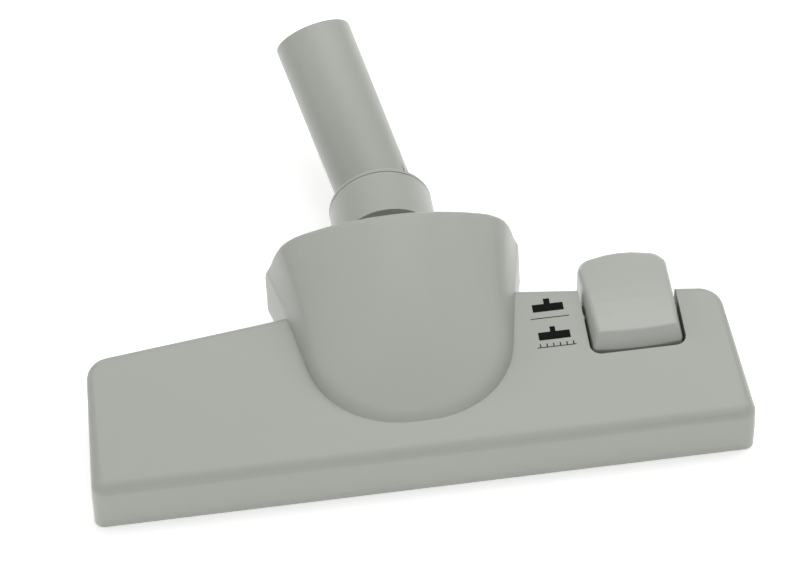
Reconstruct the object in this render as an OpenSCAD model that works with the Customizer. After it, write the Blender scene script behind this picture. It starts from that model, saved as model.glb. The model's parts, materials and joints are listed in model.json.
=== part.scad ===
// Vacuum cleaner floor head for hard floors and carpet, with a pedal that lowers two rows of bristles.
// X runs along the head, Y from the front edge to the neck, Z up from the sole.
// The origin is on the sole's rear land, on the head's middle plane.

/* [Head] */
// Width across the front edge
head_w = 291; // [270:1:310]
// Width across the rear corners
head_rear_w = 283.4; // [262:0.1:300]
// Depth of the head at its two ends
end_d = 69.3; // [65:0.1:72]
// Depth of the head beside the dome
mid_d = 79.7; // [77:0.1:82]
// Height of the top face above the front edge
front_h = 25.6; // [25:0.1:28]
// Height of the top face above the rear corners
rear_h = 33.5; // [32:0.1:36]
// Rounding of the front and end top edges
front_edge_r = 6; // [4:0.1:7]
// Rounding of the rear top edge
rear_edge_r = 3.4; // [2.8:0.1:5]
// Plan rounding of the front corners
front_corner_r = 4.5; // [3.5:0.1:6]
// Plan rounding of the rear corners
rear_corner_r = 11; // [7:0.1:12]
// Wall of the housing
wall = 2.2; // [1.6:0.1:2.4]
// Height of the joint line between the housing and the base plate
parting_z = 3; // [2.4:0.1:3.4]
// Distance from the front edge back to the origin
origin_back = 56; // [52:1:60]

/* [Dome] */
// Radius of the dome's two front rounds at its skirt
dome_base_r = 40.6; // [39:0.1:42]
// Distance of the two front rounds' centres from the middle plane
dome_round_half = 3.6; // [2:0.1:6]
// Radius of the rings that the front shoulder follows
dome_ring_r = 32.9; // [31:0.1:34]
// Rounding of the front shoulder
dome_shoulder_r = 9.5; // [7:0.1:10]
// Distance of the front rounds' centres behind the front edge
dome_ring_back = 55.6; // [54:0.1:58]
// Height of the shoulder rings' centres
dome_ring_z = 33.7; // [32:0.1:35]
// Pitch of the shoulder rings
dome_ring_tilt = 18.3; // [16:0.1:20]
// Distance of the rear top edge behind the front edge
dome_rear_back = 100; // [99:0.1:102]
// Height of the rear top edge on the middle plane
dome_rear_z = 70.2; // [68:0.1:72]
// Lean of the dome's rear face
dome_rear_lean = 10; // [6:0.5:14]
// Crown radius of the top, measured across the rear edge
dome_crown_r = 88; // [80:1:120]
// Half width of the crowned top between its shoulders
dome_crown_half = 36; // [34:0.1:38]
// Radius of the shoulders at the rear edge
dome_rear_shoulder_r = 22; // [18:0.1:24]
// Half width of the dome's foot at the rear face
dome_foot_half = 57.2; // [55:0.1:59]
// Rounding of the rear edge
dome_rear_edge_r = 2.8; // [2.3:0.1:4]
// Height of the skirt's lower edge behind the head
skirt_z = 15.5; // [13:0.1:17]

/* [Sole] */
// Centre of the front bristle row behind the front edge
front_brush_back = 6.5; // [6.3:0.1:7]
// Centre of the rear bristle row behind the front edge
rear_brush_back = 43; // [42:0.1:44]
// Width of the slots that the bristles pass through
brush_slot_w = 6; // [5.4:0.1:6.4]
// Distance of the brush slots' ends from the head's ends
brush_slot_end = 16.7; // [15.7:0.1:24]
// Centre of the suction channel behind the front edge
channel_back = 23.5; // [23:0.1:24]
// Width of the suction channel
channel_w = 13; // [11:0.1:13.4]
// Distance of the suction channel's ends from the head's ends
channel_end = 15.7; // [14.7:0.1:24]
// Height inside the channel at its ends
channel_end_h = 5.4; // [4.6:0.1:6]
// Height inside the channel at its middle
channel_mid_h = 9.2; // [8:0.1:9.6]
// Wall of the channel
channel_wall = 1.8; // [1.4:0.1:2]
// Width of a thread lifter strip
lint_w = 4.5; // [4:0.1:4.8]
// Distance of a thread lifter's ends from the head's ends
lint_end = 21.7; // [17:0.1:40]
// Depth of the groove that a thread lifter lies in
lint_groove = 1.2; // [1:0.1:1.5]

/* [Duct] */
// Inner width of the air duct
duct_w = 44; // [40:0.5:45]
// Wall of the air duct
duct_wall = 1.8; // [1.4:0.1:2]
// Height of the duct's underside behind the channel
duct_floor_z = 21.6; // [21.4:0.1:23]

/* [Neck joint] */
// Distance of the tilt axis behind the front edge
pivot_back = 99; // [98:0.1:100]
// Height of the tilt axis
pivot_z = 31.3; // [30.8:0.1:32]
// Outer radius of the drum
drum_r = 22.4; // [21.6:0.1:22.6]
// Wall of the drum
drum_wall = 2.4; // [2:0.1:3]
// Half width of the drum
drum_half = 26.5; // [26:0.1:27]
// Radius of the drum's journals
journal_r = 9; // [7:0.1:10]
// Running clearance of journals and pins
run_gap = 0.06; // [0.03:0.01:0.09]
// Pitch of the collar at rest, below level
collar_drop = 4.74; // [3:0.1:6]
// Outer radius of the collar
collar_r = 23.46; // [23:0.1:24]
// Distance from the tilt axis to the collar's rim
collar_reach = 40.8; // [39:0.1:44]
// Distance from the tilt axis to the collar's front edge
collar_start = 16.1; // [15:0.1:17]
// Bore radius of the collar, where the neck turns
collar_bore_r = 20.7; // [20:0.1:21]
// Length of the collar's bore
collar_bore_l = 9; // [7:0.1:10]

/* [Neck] */
// Outer radius of the tube at its mouth
tube_mouth_r = 17.85; // [17.6:0.05:18.4]
// Outer radius of the tube at its bend
tube_root_r = 17.5; // [17.3:0.05:18]
// Radius of the socket that takes the wand
socket_r = 16.1; // [15.8:0.05:16.3]
// Depth of the socket
socket_l = 36; // [30:1:45]
// Radius of the air passage below the socket
passage_r = 15.2; // [14:0.1:15.5]
// Bend of the neck
neck_bend = 29.6; // [20:0.1:35]
// Radius of the bend's centre line
bend_r = 21; // [20:0.1:24]
// Turn of the neck at rest, from upright towards the left
neck_turn = 27.1; // [0:0.1:60]
// Length of the straight tube beyond the bend
tube_l = 79.8; // [70:0.1:100]
// Thickness of the flange
flange_t = 2.5; // [2:0.1:3.5]
// Gap between the flange and the collar
flange_gap = 0.35; // [0.2:0.01:0.5]

/* [Pedal] */
// Distance of the pedal's centre from the head's right end
pedal_end = 41.5; // [40.5:0.1:44]
// Width of the pedal at its base
pedal_base_w = 40; // [38:0.1:40.5]
// Width of the pedal's top face at its front edge
pedal_top_w = 36.8; // [34:0.1:38]
// Distance of the pedal's front edge behind the head's front edge
pedal_front_back = 40.2; // [39.8:0.1:41]
// Distance of the pedal's rear edge behind the head's front edge
pedal_rear_back = 92.6; // [88:0.1:94]
// Bulge of the pedal's rear edge between its corners
pedal_rear_bulge = 1.5; // [0.5:0.1:3]
// Plan rounding of the pedal's rear corners
pedal_rear_corner_r = 8.2; // [6:0.1:10]
// Height of the pedal's front top edge
pedal_front_z = 37; // [36:0.1:38]
// Height of the pedal's top at its crest
pedal_mid_z = 38.8; // [38:0.1:40]
// Distance of the crest behind the head's front edge
pedal_crest_back = 62; // [60:0.1:66]
// Height of the pedal's lower edge
pedal_low_z = 24; // [23.6:0.1:24.6]
// Wall of the pedal
pedal_wall = 1.8; // [1.6:0.1:2.2]
// Distance of the pedal axle behind the front edge
axle_back = 64; // [63.5:0.1:64.5]
// Height of the pedal axle
axle_z = 25; // [24.6:0.1:25.4]
// Radius of the pedal axle
axle_r = 2; // [1.6:0.1:2.2]
// Swing of the pedal
pedal_swing = 17; // [14:0.5:17.5]
// Gap between the pedal and its well
well_gap = 1.2; // [1:0.1:1.6]

/* [Brushes] */
// Height of the bristle tips when raised
tip_z = 0.4; // [0.3:0.1:1]
// Free length of the bristles
bristle_l = 9; // [8:0.1:9.4]
// Width of a bristle row
bristle_w = 4.2; // [3.4:0.1:4.6]
// Distance of a bristle row's ends from the head's ends
bristle_row_end = 19.7; // [18.7:0.1:30]
// Distance between tufts
tuft_pitch = 4.6; // [4:0.1:6]
// Height of the carrier's frame above the sole
carrier_z = 17.5; // [17.2:0.1:17.8]
// Thickness of the carrier's frame
carrier_t = 3; // [2.4:0.1:3]
// Radius of the posts that guide the carrier
post_r = 2.5; // [2:0.1:3]

/* [Wheels] */
// Radius of a wheel over its tyre
wheel_r = 13; // [12:0.1:13.4]
// Width of a wheel
wheel_w = 9; // [7:0.1:9.6]
// Inner face of a wheel from the middle plane
wheel_in = 37.6; // [37.2:0.1:38]
// Thickness of a tyre
tyre_t = 2.4; // [1.6:0.1:3]
// Radius of a wheel's pin
wheel_pin_r = 2; // [1.6:0.1:2.4]

/* [Hidden] */

shell_grey = [0.64, 0.66, 0.63];
inner_grey = [0.5, 0.52, 0.51];
steel = [0.72, 0.73, 0.74];
rubber_black = [0.12, 0.12, 0.12];
felt_grey = [0.35, 0.35, 0.34];
lint_red = [0.55, 0.13, 0.12];

// Overrun of every cut
over = 1;
// Clearance between soft or moving pieces that only lie close
near_gap = 0.3;
// Facets of a hull's own rounded corners
round_fn = 32;
$fn = 72;

// Pitch of the wings' top face
top_slope = (rear_h - front_h) / end_d;
top_pitch = atan(top_slope);
// Widening of the dome from its front rounds to its foot, for each millimetre of depth
dome_flare_share = 0.24;
// Half width at which the wings' rear edge meets the dome
mid_half = dome_foot_half - dome_flare_share * (dome_rear_back - mid_d);
// Half of the head's narrower width, from which everything along the sole is placed
end_half = min(head_w, head_rear_w) / 2;
channel_l = 2 * (end_half - channel_end);
brush_slot_l = 2 * (end_half - brush_slot_end);
lint_l = 2 * (end_half - lint_end);
bristle_row_l = 2 * (end_half - bristle_row_end);
pedal_x = end_half - pedal_end;
// Height of the straight part of a corner
corner_h = front_h / 2;

// Depth of the rear arch below the top edge, along the rear face
arch_depth = 48;
arch_foot_r = 9;
// Distance of the skirt's rear corners behind the front edge
skirt_back = 108;
skirt_corner_r = 8.5;
skirt_t = 1;
crown_steps = 3;
// Depth of the edge left above the rear opening
rear_lintel = 2.8;
rear_opening_reach = 10;

// Base plate
screw_r = 1.25;
screw_head_r = 2.9;
screw_head_h = 1.4;
screw_l = 11;
screw_sink = 1.7;
screw_clear = 0.3;
pilot_gap = 0.05;
boss_r = 3.5;
end_screw_in = 8.7;
end_screw_x = end_half - end_screw_in;
end_screw_back = 34;
wing_screw_x = 70;
wing_screw_back = 57;
dome_screw_x = 32;
dome_screw_back = 56;
sole_screw_places = [
    for (s = [-1, 1]) each [
        [s * end_screw_x, end_screw_back],
        [s * wing_screw_x, wing_screw_back],
        [s * dome_screw_x, dome_screw_back]
    ]
];
plate_rear_in = 6.7;
plate_rear_back = mid_d - plate_rear_in;
plate_cut_half = 51.4;
lint_lift = 0.25;
front_lint_back = 13.25;
rear_lint_back = 35;
channel_mid_half = duct_w / 2 + duct_wall;

// Duct
duct_top_z = channel_mid_h + channel_wall;
duct_half = duct_w / 2 + duct_wall;
seal_t = 1.5;
seal_gap = 0.3;
duct_lip_r = drum_r + seal_gap + seal_t;
// Side view of the duct, as distances behind the front edge and heights
duct_front = channel_back - channel_w / 2 - duct_wall;
duct_rear = channel_back + channel_w / 2 + duct_wall;
duct_knee_z = 16;
duct_bend_back = 26;
duct_bend_z = 24.5;
duct_rise_back = 40;
duct_rise_z = 31.5;
duct_hood_back = 73;
duct_hood_z = 44;
duct_heel_back = 34;
duct_points = [
    [duct_front, 0],
    [duct_front, duct_knee_z],
    [duct_bend_back, duct_bend_z],
    [duct_rise_back, duct_rise_z],
    [duct_hood_back, duct_hood_z],
    [pivot_back, duct_hood_z],
    [pivot_back, duct_floor_z],
    [duct_heel_back, duct_floor_z],
    [duct_rear, duct_top_z],
    [duct_rear, 0]
];

// Cradle and wheels
seat_gap = 0.4;
seat_in = drum_half + seat_gap;
seat_t = 3.5;
seat_reach = 12;
seat_split = 0.2;
cradle_gap = 0.5;
cradle_t = 2;
cradle_front_angle = 210;
cradle_rear_angle = 290;
cradle_back = 113;
apron_gap = 1.2;
apron_front = plate_rear_back + apron_gap;
apron_z = 3.3;
apron_t = 2.4;
wheel_gap = 0.6;
wheel_back = 100;
fork_t = 2.2;
fork_reach = 9;
fork_low = 6;
fork_roof = 1.2;
web_front = 83.6;
cradle_screw_x = 42;
cradle_screw_back = 79;
fork_out = wheel_in + wheel_w + wheel_gap + fork_t;
fork_top = 2 * wheel_r + fork_roof;
arch_cut_half = fork_out + near_gap;
arch_cut_z = fork_top + fork_t + near_gap;
wheel_hub_r = wheel_r - tyre_t;
rim_flange_w = 0.8;
wheel_rim_w = wheel_w - 2 * rim_flange_w;
wheel_web_t = 2.4;
wheel_boss_r = 4;

// Drum and collar
drum_end_t = 2;
window_low_angle = 198;
window_high_angle = 132;
seal_low_angle = 204;
seal_high_angle = 128;
hood_high_angle = 136;
hood_t = 1.2;
stop_half = 10;
stop_gap = 0.05;
stop_front = 107;
stop_h = 6;
// Reach of the wedges that cut the drum and its shells
wedge_reach = 60;
duct_hood_angle = 40;
window_half = 22;
collar_bore_wall = 1.5;
collar_inner_r = collar_bore_r + collar_bore_wall;
collar_face_t = 1.5;
collar_inner_start = collar_start + collar_face_t;
collar_throat_r = 14;

// Neck journal and rings, measured along the collar's axis from its rim
journal_out_r = collar_bore_r - run_gap;
journal_tail = 4;
journal_l = collar_bore_l + journal_tail;
journal_in_r = 17.8;
lock_groove_r = 19.6;
lock_w = 1.4;
lock_play = 0.3;
lock_out_r = collar_inner_r - near_gap;
lock_split_angle = 36;
seal_groove_r = 19.2;
seal_w = 2.3;
seal_back = 3.2;
flange_rim = 0.04;
flange_r = collar_r + flange_rim;
flange_round = 0.9;
neck_fillet = 3;
mouth_chamfer = 0.8;

// Pedal
pedal_edge_r = 2.3;
pedal_front_bow = 1.2;
pedal_front_lean = 3;
pedal_crown = 0.6;
pedal_rear_drop = 2;
pedal_rear_low_z = pedal_low_z - pedal_rear_drop;
// Height up to which the pedal's walls stand upright
pedal_upright_z = 30;
pedal_side_shares = [-1, -0.5, 0, 0.5, 1];
pedal_depth_shares = [0, 0.2, 0.4, 0.6, 0.8, 1];
ear_r = 4.4;
ear_t = 3;
ear_out = 17.2;
pin_arm = 17.5;
pin_r = 1.5;
pin_play = 0.15;
pin_rib_t = 2;
pin_rib_in = 4.6;
pin_rib_reach = 3.6;
pin_rib_low = 2.2;
cam_r = 8;
cam_in = 9;
cam_t = 3;
notch_r = 1.2;
well_side_gap = 1.5;
well_corner_r = 5;
well_floor_z = 21;
cheek_t = 2.2;
cheek_low = 21.6;
cheek_foot_z = 11;
cheek_foot_front = 52.5;
cheek_foot_rear = 69;
well_half = pedal_base_w / 2 + well_side_gap;
spring_t = 0.5;
spring_w = 4;
spring_rise = 1.7;
spring_gap = 0.35;
spring_half = 6.6;
ledge_w = 2.6;
// Height of the ledges under the detent spring
spring_seat_z = axle_z - cam_r - spring_gap - spring_rise - spring_t;

// Bristles and carrier
brush_drop = pin_arm * sin(pedal_swing);
tuft_r = bristle_w / 2;
tuft_root = 1;
bar_half = 2.4;
bar_neck = 0.5;
bar_top_gap = 0.1;
carrier_bar_w = 6.8;
rail_t = 0.9;
rail_h = 4;
carrier_end = 15.7;
carrier_half = end_half - carrier_end;
cross_w = 8;
outer_cross_end = 23.7;
outer_cross_x = end_half - outer_cross_end;
inner_cross_x = 42;
post_gap = 0.1;
post_low = 12;
guide_boss_r = 4.6;
lug_half = 2.4;
lug_wall = 1.1;
slot_play = 0.2;
lug_rise = 4;

// Y of a line that lies a given distance behind the front edge
function fy(back) = back - origin_back;
// Height of the wings' top face at a distance behind the front edge
function top_z(back) = front_h + top_slope * back;
// Point on a circle about the tilt axis, as [y, z]
function about_pivot(r, a) = [fy(pivot_back) + r * cos(a), pivot_z + r * sin(a)];

// Turns a profile drawn in Y and Z into a bar along X, centred on the middle plane
module along_x(half) {
    rotate([90, 0, 90])
        translate([0, 0, -half])
            linear_extrude(2 * half) children();
}

// Wedge about the tilt axis between two angles
module pivot_wedge(low, high, reach, half) {
    mid = (low + high) / 2;
    along_x(half)
        polygon([
            about_pivot(0, 0),
            about_pivot(reach, low),
            about_pivot(reach, (low + mid) / 2),
            about_pivot(reach, mid),
            about_pivot(reach, (mid + high) / 2),
            about_pivot(reach, high)
        ]);
}

module pivot_cylinder(r, half) {
    translate([0, fy(pivot_back), pivot_z])
        rotate([0, 90, 0])
            cylinder(r = r, h = 2 * half, center = true);
}

// Outer or inset body of the two wings
module wing_solid(inset = 0, low = parting_z) {
    rear_places = [
        [head_rear_w / 2 - rear_corner_r, end_d - rear_corner_r],
        [mid_half - rear_corner_r, mid_d - rear_corner_r]
    ];
    hull()
        for (s = [-1, 1]) {
            translate([
                s * (head_w / 2 - front_edge_r),
                fy(front_edge_r),
                top_z(front_edge_r) - front_edge_r / cos(top_pitch)
            ])
                sphere(r = front_edge_r - inset, $fn = round_fn);
            translate([s * (head_w / 2 - front_corner_r), fy(front_corner_r), low])
                cylinder(r = front_corner_r - inset, h = corner_h - low, $fn = round_fn);
            for (p = rear_places) {
                translate([s * p[0], fy(p[1]), top_z(p[1]) - rear_edge_r / cos(top_pitch)])
                    rotate([top_pitch, 0, 0])
                        rotate_extrude($fn = round_fn)
                            translate([rear_corner_r - rear_edge_r, 0])
                                circle(r = rear_edge_r - inset, $fn = round_fn / 2);
                translate([s * p[0], fy(p[1]), low])
                    cylinder(r = rear_corner_r - inset, h = corner_h - low, $fn = round_fn);
            }
        }
}

// Places what is drawn in the rear arch's own frame
module at_rear_arch() {
    translate([0, fy(dome_rear_back), dome_rear_z])
        rotate([dome_rear_lean, 0, 0])
            children();
}

// Rounded disc that stands in the rear arch, its face to the rear
module arch_disc(x, z, r, inset) {
    translate([x, -dome_rear_edge_r, z])
        rotate([90, 0, 0])
            rotate_extrude($fn = round_fn)
                translate([r - dome_rear_edge_r, 0])
                    circle(r = dome_rear_edge_r - inset, $fn = round_fn / 2);
}

// Rear end of the dome: shoulders, feet and the crown between the shoulders
module rear_arch(inset) {
    crown_angle = asin(dome_crown_half / dome_crown_r);
    at_rear_arch() {
        for (s = [-1, 1]) {
            arch_disc(
                s * (dome_crown_r - dome_rear_shoulder_r) * sin(crown_angle),
                (dome_crown_r - dome_rear_shoulder_r) * cos(crown_angle) - dome_crown_r,
                dome_rear_shoulder_r, inset
            );
            arch_disc(s * (dome_foot_half - arch_foot_r), arch_foot_r - arch_depth, arch_foot_r, inset);
        }
        for (i = [-crown_steps : crown_steps]) {
            a = crown_angle * i / (crown_steps + 1);
            translate([
                (dome_crown_r - dome_rear_edge_r) * sin(a),
                -dome_rear_edge_r,
                (dome_crown_r - dome_rear_edge_r) * cos(a) - dome_crown_r
            ])
                sphere(r = dome_rear_edge_r - inset, $fn = round_fn / 2);
        }
    }
}

// Opening in the rear face that the collar comes out of, arched like the dome's crown
module rear_opening() {
    half = seat_in + seat_t + near_gap;
    at_rear_arch()
        intersection() {
            translate([-half, -rear_opening_reach, -2 * arch_depth])
                cube([2 * half, 2 * rear_opening_reach, 2 * arch_depth]);
            translate([0, 0, -dome_crown_r])
                rotate([90, 0, 0])
                    cylinder(r = dome_crown_r - rear_lintel, h = 4 * rear_opening_reach, center = true);
        }
}

// Outer or inset body of the dome
module dome_solid(inset = 0, low = skirt_z) {
    hull() {
        for (s = [-1, 1]) {
            translate([s * dome_round_half, fy(dome_ring_back), low])
                cylinder(r = dome_base_r - inset, h = skirt_t);
            translate([s * (dome_foot_half - skirt_corner_r), fy(skirt_back - skirt_corner_r), low])
                cylinder(r = skirt_corner_r - inset, h = skirt_t, $fn = round_fn);
            translate([s * dome_round_half, fy(dome_ring_back), dome_ring_z])
                rotate([dome_ring_tilt, 0, 0])
                    rotate([0, 0, 180])
                        rotate_extrude(angle = 180)
                            translate([dome_ring_r, 0])
                                circle(r = dome_shoulder_r - inset, $fn = round_fn);
        }
        rear_arch(inset);
    }
}

// Opening that the pedal swings in, open to the rear
module pedal_well() {
    front = fy(pedal_front_back - well_gap);
    length = mid_d - pedal_front_back + well_gap + well_corner_r;
    translate([pedal_x, front + length / 2, well_floor_z])
        linear_extrude(rear_h)
            offset(r = well_corner_r)
                offset(delta = -well_corner_r)
                    square([2 * well_half, length], center = true);
}

// Walls beside and before the pedal, with ledges for the detent spring
module well_walls() {
    front = fy(pedal_front_back - well_gap);
    for (s = [-1, 1])
        translate([pedal_x + s * (well_half + cheek_t / 2), front - cheek_t, cheek_low])
            translate([-cheek_t / 2, 0, 0])
                cube([cheek_t, mid_d - pedal_front_back + well_gap, rear_h]);
    translate([pedal_x - well_half, front - cheek_t, cheek_low])
        cube([2 * well_half, cheek_t, rear_h]);
    translate([pedal_x - well_half - cheek_t, fy(cheek_foot_front), cheek_foot_z])
        cube([cheek_t, cheek_foot_rear - cheek_foot_front, rear_h - cheek_foot_z]);
    for (y = [axle_back - spring_half - ledge_w / 2, axle_back + spring_half - ledge_w / 2])
        translate([pedal_x - well_half - cheek_t / 2, fy(y), cheek_foot_z])
            cube([well_half - cam_in + over + cheek_t / 2, ledge_w, spring_seat_z - cheek_foot_z]);
}

// Half round seats above the drum's journals
module upper_seats() {
    for (s = [-1, 1])
        translate([s * (seat_in + seat_t / 2), fy(pivot_back), pivot_z + seat_split])
            translate([-seat_t / 2, -seat_reach, 0])
                cube([seat_t, 2 * seat_reach, dome_rear_z - pivot_z]);
}

module ribs() {
    rib_t = 1.5;
    rib_low = carrier_z + carrier_t + over;
    rib_shares = [0.4, 0.67, 0.87];
    for (s = [-1, 1], share = rib_shares)
        if (s < 0 || abs(share * head_w / 2 - pedal_x) > well_half + cheek_t)
            translate([s * share * head_w / 2 - rib_t / 2, fy(0), rib_low])
                cube([rib_t, mid_d, rear_h]);
}

// Top cover of the head, moulded in one piece with the dome
module upper_housing() {
    color(shell_grey)
        difference() {
            union() {
                difference() {
                    union() {
                        wing_solid();
                        dome_solid();
                    }
                    wing_solid(wall, parting_z - over);
                    dome_solid(wall, skirt_z - over);
                    translate([-plate_cut_half, fy(plate_rear_back - wall), 0])
                        cube([2 * plate_cut_half, mid_d, skirt_z]);
                    translate([-arch_cut_half, fy(wheel_back), 0])
                        cube([2 * arch_cut_half, wheel_back, arch_cut_z]);
                    rear_opening();
                }
                intersection() {
                    union() {
                        wing_solid(wall / 2);
                        dome_solid(wall / 2);
                    }
                    union() {
                        well_walls();
                        upper_seats();
                        ribs();
                        for (p = sole_screw_places)
                            translate([p[0], fy(p[1]), parting_z])
                                cylinder(r = boss_r, h = dome_rear_z);
                        for (s = [-1, 1], x = [inner_cross_x, outer_cross_x])
                            translate([s * x, fy(channel_back), post_low])
                                cylinder(r = post_r, h = dome_rear_z);
                        for (s = [-1, 1])
                            translate([s * cradle_screw_x, fy(cradle_screw_back), 0])
                                cylinder(r = boss_r, h = dome_rear_z);
                    }
                }
            }
            pedal_well();
            pivot_cylinder(journal_r + run_gap, seat_in + seat_t + over);
            for (p = sole_screw_places)
                translate([p[0], fy(p[1]), parting_z - over])
                    cylinder(r = screw_r + pilot_gap, h = screw_l + over);
            for (s = [-1, 1])
                translate([s * cradle_screw_x, fy(cradle_screw_back), 0]) {
                    translate([0, 0, -over])
                        cylinder(r = boss_r + over, h = apron_z + apron_t + over);
                    cylinder(r = screw_r + pilot_gap, h = apron_z + apron_t + screw_l);
                }
            translate([pedal_x, fy(axle_back), axle_z])
                rotate([0, 90, 0])
                    cylinder(r = axle_r, h = 2 * (well_half + cheek_t) + over, center = true);
        }
}

// Outline of the sole
module sole_outline() {
    hull()
        for (s = [-1, 1]) {
            translate([s * (head_w / 2 - front_corner_r), fy(front_corner_r)])
                circle(r = front_corner_r);
            translate([s * (head_rear_w / 2 - rear_corner_r), fy(end_d - rear_corner_r)])
                circle(r = rear_corner_r);
            translate([s * (mid_half - rear_corner_r), fy(mid_d - rear_corner_r)])
                circle(r = rear_corner_r);
        }
}

// Front view of the suction channel, grown by its wall
module channel_outline(grow, low) {
    polygon([
        [-channel_l / 2 - grow, low],
        [-channel_l / 2 - grow, channel_end_h + grow],
        [-duct_half, channel_mid_h + grow],
        [duct_half, channel_mid_h + grow],
        [channel_l / 2 + grow, channel_end_h + grow],
        [channel_l / 2 + grow, low]
    ]);
}

module channel_body(grow, low) {
    translate([0, fy(channel_back), 0])
        rotate([90, 0, 0])
            translate([0, 0, -channel_w / 2 - grow])
                linear_extrude(channel_w + 2 * grow)
                    channel_outline(grow, low);
}

// Long rounded bar that cuts a brush slot
module slot_cut(back) {
    end_x = (brush_slot_l - brush_slot_w) / 2;
    translate([-end_x, fy(back) - brush_slot_w / 2, -over])
        cube([2 * end_x, brush_slot_w, parting_z + 2 * over]);
    for (s = [-1, 1])
        translate([s * end_x, fy(back), -over])
            cylinder(r = brush_slot_w / 2, h = parting_z + 2 * over);
}

// Sole plate with the suction channel
module base_plate() {
    color(inner_grey)
        difference() {
            union() {
                difference() {
                    linear_extrude(parting_z) sole_outline();
                    translate([-plate_cut_half, fy(plate_rear_back), -over])
                        cube([2 * plate_cut_half, mid_d, parting_z + 2 * over]);
                }
                channel_body(channel_wall, 0);
            }
            channel_body(0, -over);
            translate([-duct_w / 2, fy(channel_back) - channel_w / 2, 0])
                cube([duct_w, channel_w, duct_top_z + over]);
            slot_cut(front_brush_back);
            slot_cut(rear_brush_back);
            for (back = [front_lint_back, rear_lint_back])
                translate([-lint_l / 2 - near_gap, fy(back) - lint_w / 2, -over])
                    cube([lint_l + 2 * near_gap, lint_w, lint_groove + over]);
            for (p = sole_screw_places)
                translate([p[0], fy(p[1]), -over]) {
                    cylinder(r = screw_head_r + screw_clear, h = screw_sink + over);
                    cylinder(r = screw_r + screw_clear, h = parting_z + 2 * over);
                }
        }
}

// Self-tapping screw with a cross slot, its head's upper face at zero
module screw() {
    slot_l = 3.2;
    slot_w = 0.7;
    slot_deep = 0.8;
    color(steel) {
        difference() {
            translate([0, 0, -screw_head_h])
                cylinder(r = screw_head_r, h = screw_head_h, $fn = 32);
            for (a = [0, 90])
                rotate([0, 0, a])
                    translate([-slot_l / 2, -slot_w / 2, -screw_head_h - over])
                        cube([slot_l, slot_w, slot_deep + over]);
        }
        cylinder(r = screw_r, h = screw_l, $fn = 24);
    }
}

module sole_screws() {
    for (p = sole_screw_places)
        translate([p[0], fy(p[1]), screw_sink])
            screw();
}

module cradle_screws() {
    for (s = [-1, 1])
        translate([s * cradle_screw_x, fy(cradle_screw_back), apron_z])
            screw();
}

module lint_strip(back) {
    color(lint_red)
        translate([-lint_l / 2, fy(back) - lint_w / 2 + near_gap / 2, lint_lift])
            cube([lint_l, lint_w - near_gap, lint_groove - lint_lift]);
}

module front_thread_lifter() {
    lint_strip(front_lint_back);
}

module rear_thread_lifter() {
    lint_strip(rear_lint_back);
}

// Side view of the duct's outside
module duct_outline() {
    polygon([for (p = duct_points) [fy(p[0]), p[1]]]);
}

// Shell about the tilt axis between two angles
module drum_shell(low, high, inner, outer, half) {
    intersection() {
        difference() {
            pivot_cylinder(outer, half);
            pivot_cylinder(inner, half + over);
        }
        pivot_wedge(low, high, wedge_reach, half + over);
    }
}

// Duct from the channel to the drum, with a hood over the drum's window
module air_duct() {
    color(inner_grey) {
        difference() {
            along_x(duct_half)
                intersection() {
                    duct_outline();
                    translate([fy(duct_front), duct_top_z])
                        square([pivot_back, wedge_reach]);
                }
            along_x(duct_w / 2)
                offset(delta = -duct_wall) duct_outline();
            pivot_cylinder(duct_lip_r, duct_half + over);
        }
        drum_shell(hood_high_angle, window_low_angle - duct_hood_angle, duct_lip_r, duct_lip_r + hood_t, duct_half);
    }
}

// Felt pad that bears on the drum, with an opening of the duct's size
module duct_seal() {
    color(felt_grey)
        difference() {
            drum_shell(seal_high_angle, seal_low_angle, drum_r + seal_gap, duct_lip_r, duct_half);
            along_x(duct_w / 2)
                offset(delta = -duct_wall) duct_outline();
        }
}

// Lower bearing seats, drum trough and wheel forks
module rear_cradle() {
    color(inner_grey)
        difference() {
            union() {
                drum_shell(
                    cradle_front_angle, cradle_rear_angle,
                    drum_r + cradle_gap, drum_r + cradle_gap + cradle_t,
                    seat_in + seat_t
                );
                difference() {
                    translate([-stop_half, fy(stop_front), apron_z])
                        cube([2 * stop_half, cradle_back - stop_front, stop_h]);
                    pivot_cylinder(drum_r + cradle_gap, seat_in);
                }
                translate([-fork_out, fy(apron_front), apron_z])
                    cube([2 * fork_out, web_front + fork_t - apron_front, apron_t]);
                for (s = [-1, 1]) {
                    translate([s * (seat_in + seat_t / 2) - seat_t / 2, fy(pivot_back) - seat_reach, apron_z])
                        cube([seat_t, 2 * seat_reach, pivot_z - apron_z]);
                    fork_span = fork_out - seat_in;
                    translate([s * (seat_in + fork_span / 2) - fork_span / 2, fy(web_front), 0]) {
                        translate([0, 0, apron_z])
                            cube([fork_span, fork_t, fork_top + fork_t - apron_z]);
                        translate([0, 0, fork_top])
                            cube([fork_span, wheel_back + fork_reach - web_front, fork_t]);
                    }
                    for (x = [wheel_in - wheel_gap - fork_t / 2, fork_out - fork_t / 2])
                        translate([s * x - fork_t / 2, fy(web_front), fork_low])
                            cube([fork_t, wheel_back + fork_reach - web_front, fork_top - fork_low]);
                }
            }
            pivot_cylinder(journal_r + run_gap, seat_in + seat_t + near_gap);
            at_collar(0)
                cylinder(r = collar_r + stop_gap, h = collar_reach);
            translate([0, fy(wheel_back), wheel_r])
                rotate([0, 90, 0])
                    cylinder(r = wheel_pin_r, h = 2 * fork_out + over, center = true);
            for (s = [-1, 1])
                translate([s * cradle_screw_x, fy(cradle_screw_back), 0])
                    cylinder(r = screw_r + screw_clear, h = apron_z + apron_t + over);
        }
}

// Places a wheel part drawn about its own middle
module at_wheel(side) {
    translate([side * (wheel_in + wheel_w / 2), fy(wheel_back), wheel_r])
        rotate([0, 90, 0])
            children();
}

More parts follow.
